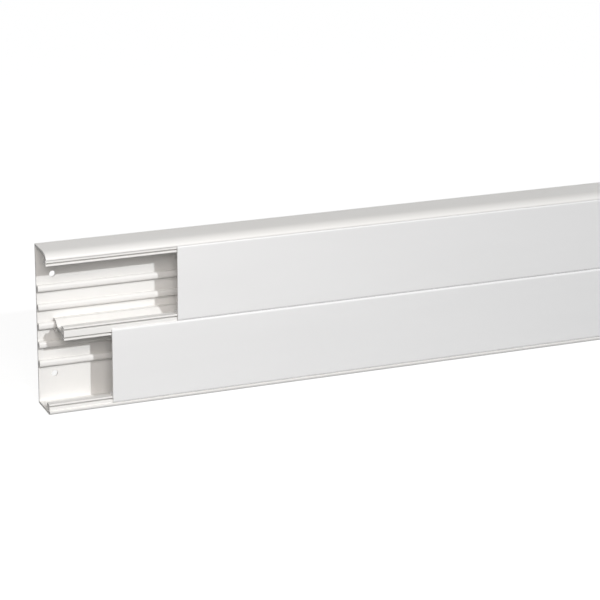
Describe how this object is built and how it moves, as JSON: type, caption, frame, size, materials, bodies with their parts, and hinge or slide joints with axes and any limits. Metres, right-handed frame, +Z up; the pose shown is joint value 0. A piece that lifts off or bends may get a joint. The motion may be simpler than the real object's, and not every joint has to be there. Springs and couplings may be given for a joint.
{
  "type": "cable trunking",
  "caption": "Two-compartment surface cable trunking with a flat base, a clip-on partition and snap-fit covers set back at one end.",
  "frame": {"origin": "middle of the underside: half way along the run, half way through the depth, on the surface that the flat flange stands on", "axes": "+X along the run, from the open end with the covers set back to the flush end; +Y towards the wall behind; +Z up"},
  "size_m": [2, 0.035, 0.15],
  "materials": {
    "base_pvc": "smooth white extruded PVC with a soft sheen",
    "partition_pvc": "smooth white extruded PVC with a soft sheen",
    "cover_pvc": "smooth white extruded PVC, a little cooler than the base"
  },
  "bodies": {
    "root": {"trunking_base": "base_pvc", "partition": "partition_pvc", "lower_cover": "cover_pvc", "upper_cover": "cover_pvc"}
  },
  "joints": []
}
